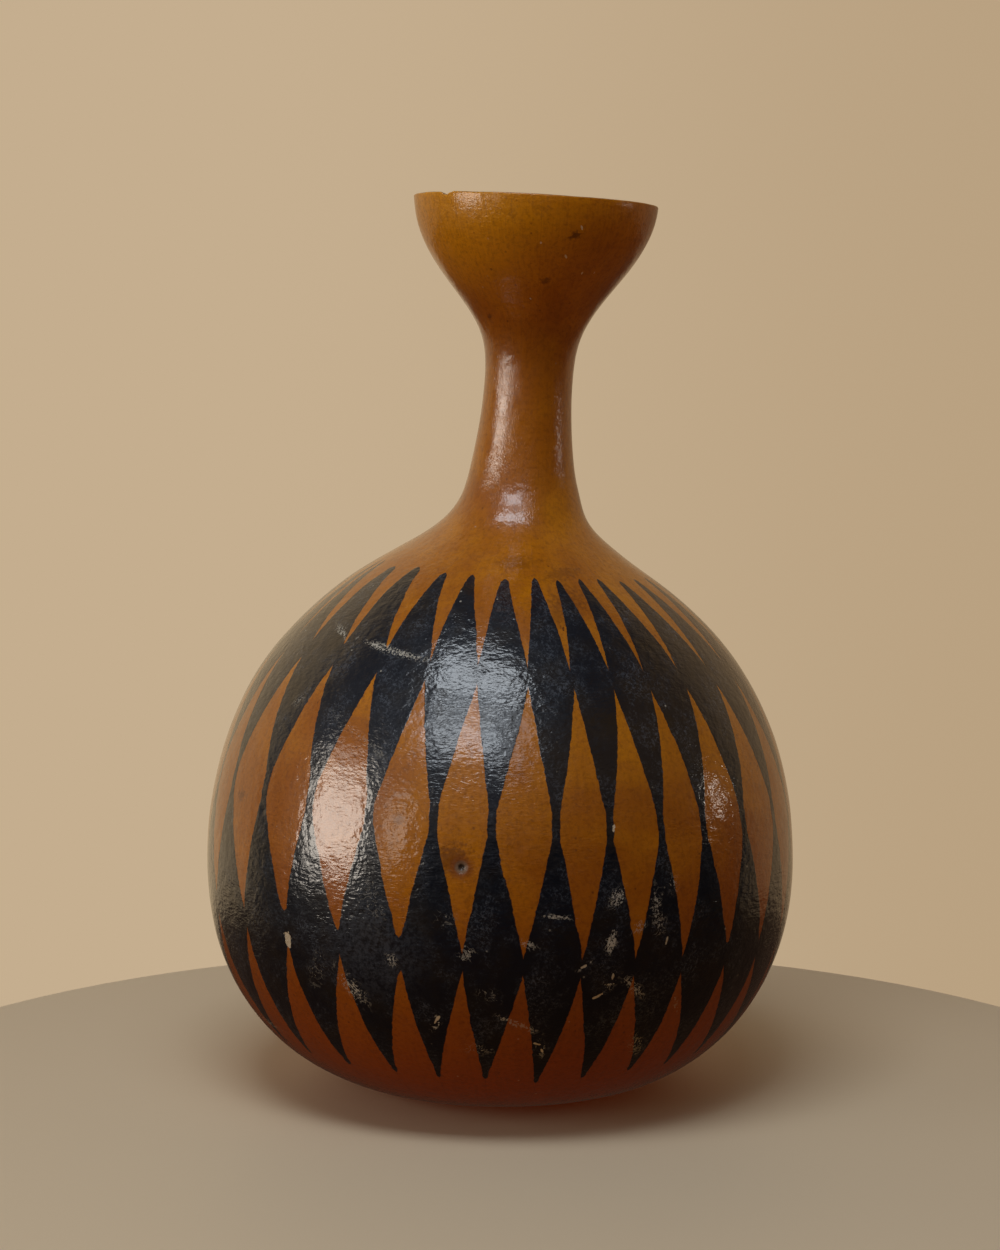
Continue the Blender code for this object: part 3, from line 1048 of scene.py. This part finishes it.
def painted_skin(groups, pit_middle, haze_middle):
    """The varnished skin with its painted diamonds, scuffs, chips, stains, freckles and the pit."""
    material, tree, shader, place, wrapped = new_material("varnished gourd skin")
    pattern = axes(tree, node(tree, "UVMap", uv_map="Pattern").outputs[0])
    paint = use_group(tree, groups["diamonds"],
                      {"Column": pattern["X"], "Level": pattern["Y"], "Place": place})["Paint"]
    mottle = use_group(tree, groups["mottle"], {"Place": place, "Wrapped": wrapped, "Fibre Size": 0.0020})
    dust = use_group(tree, groups["dust"], {"Place": place, "Amount": 0.6})
    blotchy = swing(tree, mottle["Blotches"])

    # The marks that were laid on the mesh
    local = node(tree, "UVMap", uv_map="Marks").outputs[0]
    kinds = axes(tree, node(tree, "Attribute", attribute_name="mark").outputs["Vector"])
    scuff = use_group(tree, groups["scuff"], {"Local": local, "Place": place, "Cover": kinds["X"]})["Mark"]
    far = distance(tree, local)
    nibbled = swing(tree, cloud(tree, place, 0.0012, 3.0))
    uneven = calc(tree, "MULTIPLY_ADD", blotchy, 1.4, far)
    uneven = calc(tree, "MULTIPLY_ADD", nibbled, 2.2, uneven)
    stain = times(tree, spread(tree, uneven, 0.3, 1.1, 1.0, 0.0), kinds["Y"])
    uneven = calc(tree, "MULTIPLY_ADD", nibbled, 1.8, far)
    chip = times(tree, spread(tree, uneven, 0.75, 0.95, 1.0, 0.0), kinds["Z"])

    # Bare skin, darker and redder towards the base as partly painted shade, and on the cup's left a
    # lighter gold that is painted light
    rolled = axes(tree, wrapped)
    along = rolled["Z"]
    leather = cloud(tree, place, 0.0014, 4.0, 0.7)
    # Painted light: the cup's left side gets the lighter gold, and its shaded right side keeps the darker
    # brown
    painted_light_left = spread(tree, rolled["X"], -0.06, 0.05, 0.85, 0.05)
    skin = mixed(tree, spread(tree, mottle["Clouds"], 0.34, 0.62), GOLDEN, RED_BROWN)
    layers = [
        (spread(tree, mottle["Blotches"], 0.42, 0.72, 0.0, 0.34), RED_BROWN),
        (times(tree, spread(tree, along, *CUP_GOLD_PAINTED_LIGHT_UP), painted_light_left), CUP_GOLD_PAINTED_LIGHT),
        # Painted shade, with some of the skin's redder tone: darker and redder towards the base
        (spread(tree, along, *LOW_BROWN_AND_SHADE_UP, 1.0, 0.0), LOW_BROWN_AND_SHADE),
        (spread(tree, mottle["Fibres"], 0.40, 0.75, 0.0, 0.13), DARK_BROWN),
        (spread(tree, leather, 0.42, 0.72, 0.0, 0.34), DARK_BROWN),
        (times(tree, mottle["Freckles"], 0.6), DARK_BROWN),
        (stain, DARK_BROWN),
    ]

    # Underneath: the scar of the blossom, and the ring that the gourd rests on, rubbed pale
    from_scar = distance(tree, place)
    ragged = calc(tree, "MULTIPLY_ADD", blotchy, 0.006, from_scar)
    rubbed = times(tree, spread(tree, from_scar, 0.016, 0.024),
                   spread(tree, from_scar, 0.030, 0.038, 1.0, 0.0),
                   spread(tree, mottle["Blotches"], 0.44, 0.58))
    layers += [
        (spread(tree, ragged, 0.0025, 0.0050, 0.85, 0.0), PIT_HALO),
        (spread(tree, ragged, 0.0010, 0.0024, 0.9, 0.0), PIT_BROWN),
        (times(tree, rubbed, 0.6), WORN_BROWN),
    ]

    # The pit, dark inside, with a grey edge
    from_pit = distance(tree, place, pit_middle)
    layers += [
        (spread(tree, from_pit, 0.0022, 0.0052, 0.65, 0.0), PIT_HALO),
        (spread(tree, from_pit, 0.0014, 0.0027, 0.85, 0.0), RING_GREY),
        (spread(tree, from_pit, 0.0008, 0.0014, 1.0, 0.0), PIT_BROWN),
    ]

    # Black paint, thinner and browner in places
    thin = spread(tree, cloud(tree, place, 0.012, 4.0, 0.6), 0.42, 0.70)
    layers.append((paint, mixed(tree, thin, BLACK, THIN_BLACK)))

    # Bloom, scuffs, flecks and chips, over skin and paint
    haze = times(tree, spread(tree, distance(tree, place, haze_middle), 0.006, 0.026, 0.22, 0.0),
                 spread(tree, leather, 0.38, 0.62), paint)
    bloom = times(tree, dust["Bloom"], spread(tree, paint, 0.0, 1.0, 0.05, 0.60))
    scuffed = largest(tree, times(tree, scuff, kinds["X"]), times(tree, dust["Flecks"], 0.7))
    layers += [
        (largest(tree, bloom, haze), GREY_BLOOM),
        (times(tree, scuffed, spread(tree, paint, 0.0, 1.0, 0.5, 1.0)), PALE_SCUFF),
        (times(tree, chip, 0.85), CHIP_PALE),
    ]
    for share, color in layers:
        skin = mixed(tree, share, skin, color)

    # Varnish, worn off by scuffs, chips, rubbing and hands, and gone in the pit
    worn = largest(tree, scuffed, chip, rubbed, spread(tree, from_pit, 0.0012, 0.0026, 1.0, 0.0))
    handled = largest(tree, worn, spread(tree, along, *HANDLED_UP, 0.0, 0.65))
    coat = calc(tree, "MULTIPLY_ADD", handled, -0.8, 1.0)
    varnished = spread(tree, mottle["Blotches"], 0.3, 0.7, 0.34, 0.46)
    roughness = calc(tree, "MULTIPLY_ADD", worn, 0.3, varnished)
    ripples = use_group(tree, groups["ripples"], {
        "Place": place, "Wrapped": wrapped, "Height": spread(tree, paint, 0.0, 1.0, 0.120, 0.150),
        "Grain": spread(tree, paint, 0.0, 1.0, 0.015, 0.040)})
    layered = calc(tree, "MULTIPLY_ADD", paint, 0.012, ripples["Relief"])
    layered = calc(tree, "MULTIPLY_ADD", worn, -0.015, layered)
    bump = bumped(tree, layered)
    fill(tree, shader, {
        "Base Color": skin, "Roughness": roughness, "Coat Weight": coat, "Normal": bump,
        "Coat Normal": bump, "Coat Roughness": 0.10, "Coat IOR": 1.55, "Specular IOR Level": 0.2})
    return material


def bare_wall(groups, name, fibre_size, first_colors, later_colors, height, grain, roughness):
    """A material of bare wall. first_colors holds a kind of mottle and the two colours that it mixes.
    Each of later_colors holds a kind of mottle, where in it the colour starts, where it stops growing,
    how full it is there, and the colour."""
    material, tree, shader, place, wrapped = new_material(name)
    mottle = use_group(tree, groups["mottle"],
                       {"Place": place, "Wrapped": wrapped, "Fibre Size": fibre_size})
    kind, below, above = first_colors
    color = mixed(tree, mottle[kind], below, above)
    for kind, low, high, most, above in later_colors:
        color = mixed(tree, spread(tree, mottle[kind], low, high, 0.0, most), color, above)
    ripples = use_group(tree, groups["ripples"],
                        {"Place": place, "Wrapped": wrapped, "Height": height, "Grain": grain})
    bump = bumped(tree, ripples["Relief"])
    fill(tree, shader, {"Base Color": color, "Normal": bump, "Roughness": roughness})
    return material


def sawn_rim(groups):
    """The sawn edge: pale wall, darkened by handling."""
    fibres = ("Fibres", 0.45, 0.70, 0.5, SAW_FIBRE)
    return bare_wall(groups, "sawn rim", 0.0009, ("Blotches", WORN_BROWN, SAW_BROWN), [fibres],
                     height=0.02, grain=0.03, roughness=0.5)


def raw_inside(groups):
    """The scraped inside: dry, matt and fibrous, with dark stains."""
    stains = ("Blotches", 0.40, 0.72, 0.6, INSIDE_STAIN)
    fibres = ("Fibres", 0.45, 0.72, 0.5, INSIDE_FIBRE)
    return bare_wall(groups, "raw inside", 0.0016, ("Clouds", INSIDE_PALE, INSIDE_TAN), [stains, fibres],
                     height=0.05, grain=0.10, roughness=0.85)


# Floor, light and room

WALL_SEEN_LEFT = tone(197, 174, 143)
WALL_SEEN_RIGHT = tone(185, 161, 129)
PALE_FLOOR = tone(224, 204, 174)
FLOOR_RADIUS, FLOOR_DEPTH, FLOOR_EDGE = 0.245, 0.022, 0.003
FLOOR_MIDDLE_Y = -0.05  # a little nearer the camera than the gourd
FLOOR_STEPS = 96


def add_floor():
    """A plain pale round floor, about half a metre across, with a soft edge."""
    radius, depth, soft, steps = FLOOR_RADIUS, FLOOR_DEPTH, FLOOR_EDGE, FLOOR_STEPS
    section = [(radius - soft, 0.0), (radius - 0.3 * soft, -0.3 * soft), (radius, -soft), (radius, -depth)]
    points = [(r * math.sin(2 * math.pi * i / steps), r * math.cos(2 * math.pi * i / steps), z)
              for r, z in section for i in range(steps)]
    faces = [list(range(steps))[::-1], list(range(3 * steps, 4 * steps))]
    for ring in range(3):
        for i in range(steps):
            a, b = ring * steps + i, ring * steps + (i + 1) % steps
            faces.append((a, b, b + steps, a + steps))
    mesh = bpy.data.meshes.new("floor")
    mesh.from_pydata(points, [], faces)
    mesh.update()
    floor = bpy.data.objects.new("floor", mesh)
    floor.location = (0.0, FLOOR_MIDDLE_Y, 0.0)
    bpy.context.collection.objects.link(floor)
    material = bpy.data.materials.new("pale floor")
    material.use_nodes = True
    shader = material.node_tree.nodes["Principled BSDF"]
    shader.inputs["Base Color"].default_value = PALE_FLOOR
    shader.inputs["Roughness"].default_value = 0.55
    mesh.materials.append(material)
    floor.visible_glossy = False
    floor.visible_diffuse = False


LIT_HEIGHT = 0.12  # the height in metres that the lights are aimed at


def add_softbox(name, azimuth, elevation, away, wide, high, radiance, color):
    """A soft light in this direction from the gourd, this many metres away, and wide and high degrees
    across as the gourd sees it."""
    data = bpy.data.lights.new(name, "AREA")
    data.shape = "RECTANGLE"
    data.size = 2 * away * math.tan(math.radians(wide / 2))
    data.size_y = 2 * away * math.tan(math.radians(high / 2))
    data.energy = radiance * math.pi * data.size * data.size_y
    data.color = color
    light = bpy.data.objects.new(name, data)
    way = facing(azimuth, elevation)
    light.location = Vector((0.0, 0.0, LIT_HEIGHT)) + way * away
    light.rotation_euler = way.to_track_quat("Z", "Y").to_euler()
    light.visible_camera = False
    bpy.context.collection.objects.link(light)
    return light


def add_lights():
    warm_white = (1.0, 0.90, 0.78)
    cool_white = (0.86, 0.93, 1.0)
    add_softbox("left window", -68, 10.2, 1.6, 26, 28, 2.5, warm_white)
    shines = [
        add_softbox("left window's shine", -66.5, 8.2, 1.6, 22, 19, 5.6, warm_white),
        add_softbox("front pane", -16, 43, 1.1, 42, 20, 1.5, cool_white),
        add_softbox("front pane's foot", -19, 41, 1.1, 27, 9, 4.9, cool_white),
    ]
    for shine in shines:
        shine.visible_diffuse = False
    add_softbox("second pane", -41, 10, 1.0, 9, 15, 2.4, warm_white)
    add_softbox("overhead", -19, 64, 1.0, 30, 13.5, 6.9, cool_white)
    glow = add_softbox("ceiling glow", -5, 66, 1.0, 38, 19, 2.5, cool_white)
    glow.visible_glossy = False
    add_softbox("right window", 90.5, 8.5, 1.2, 5, 4, 8.0, warm_white)


DARK_ROOM = (0.016, 0.016, 0.018, 1.0)
UPPER_LEFT = (0.10, 0.105, 0.125, 1.0)
UPPER_RIGHT = (0.16, 0.10, 0.05, 1.0)
CEILING = (0.05, 0.05, 0.055, 1.0)
LEFT_WALL = (0.53, 0.395, 0.24, 1.0)
RIGHT_WALL = (0.30, 0.20, 0.11, 1.0)
UNDER = (0.040, 0.022, 0.014, 1.0)
FLOOR_GLOW = (0.24, 0.125, 0.040, 1.0)


def add_room():
    """A dim room: the pale wall lies behind and at the sides, and the front is dark lower down."""
    world = bpy.data.worlds.new("room")
    world.use_nodes = True
    bpy.context.scene.world = world
    tree = world.node_tree
    back = tree.nodes["Background"]
    parts = axes(tree, node(tree, "TexCoord").outputs["Generated"])
    upper = mixed(tree, spread(tree, parts["X"], -0.3, 0.6), UPPER_LEFT, UPPER_RIGHT)
    lit = mixed(tree, spread(tree, parts["Z"], 0.0, 0.4), DARK_ROOM, upper)
    wall = mixed(tree, spread(tree, parts["X"], -0.2, 0.4), LEFT_WALL, RIGHT_WALL)
    lit = mixed(tree, spread(tree, parts["Y"], 0.16, 0.44), lit, wall)
    lit = mixed(tree, spread(tree, parts["Z"], 0.62, 0.90), lit, CEILING)
    paths = node(tree, "LightPath").outputs
    under = mixed(tree, paths["Is Diffuse Ray"], UNDER, FLOOR_GLOW)
    lit = mixed(tree, spread(tree, parts["Z"], -0.30, -0.21), under, lit)
    seen = mixed(tree, spread(tree, parts["X"], -0.10, 0.20), WALL_SEEN_LEFT, WALL_SEEN_RIGHT)
    tree.links.new(mixed(tree, paths["Is Camera Ray"], lit, seen), back.inputs["Color"])


def main():
    add_camera()
    bpy.context.scene.view_settings.view_transform = "Standard"
    low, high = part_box("gourd")
    belly = (high.y - low.y) / 2
    gourd = build_shell(belly)
    groups = {
        "diamonds": diamonds_group(),
        "mottle": mottle_group(),
        "ripples": ripple_group(),
        "scuff": scuff_group(),
        "dust": dust_group(),
    }
    skin = painted_skin(groups, spot_on_skin(belly, PIT), spot_on_skin(belly, HAZE))
    for material in (skin, sawn_rim(groups), raw_inside(groups)):
        gourd.data.materials.append(material)
    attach(gourd, "root")
    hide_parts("gourd")
    add_floor()
    add_lights()
    add_room()


main()
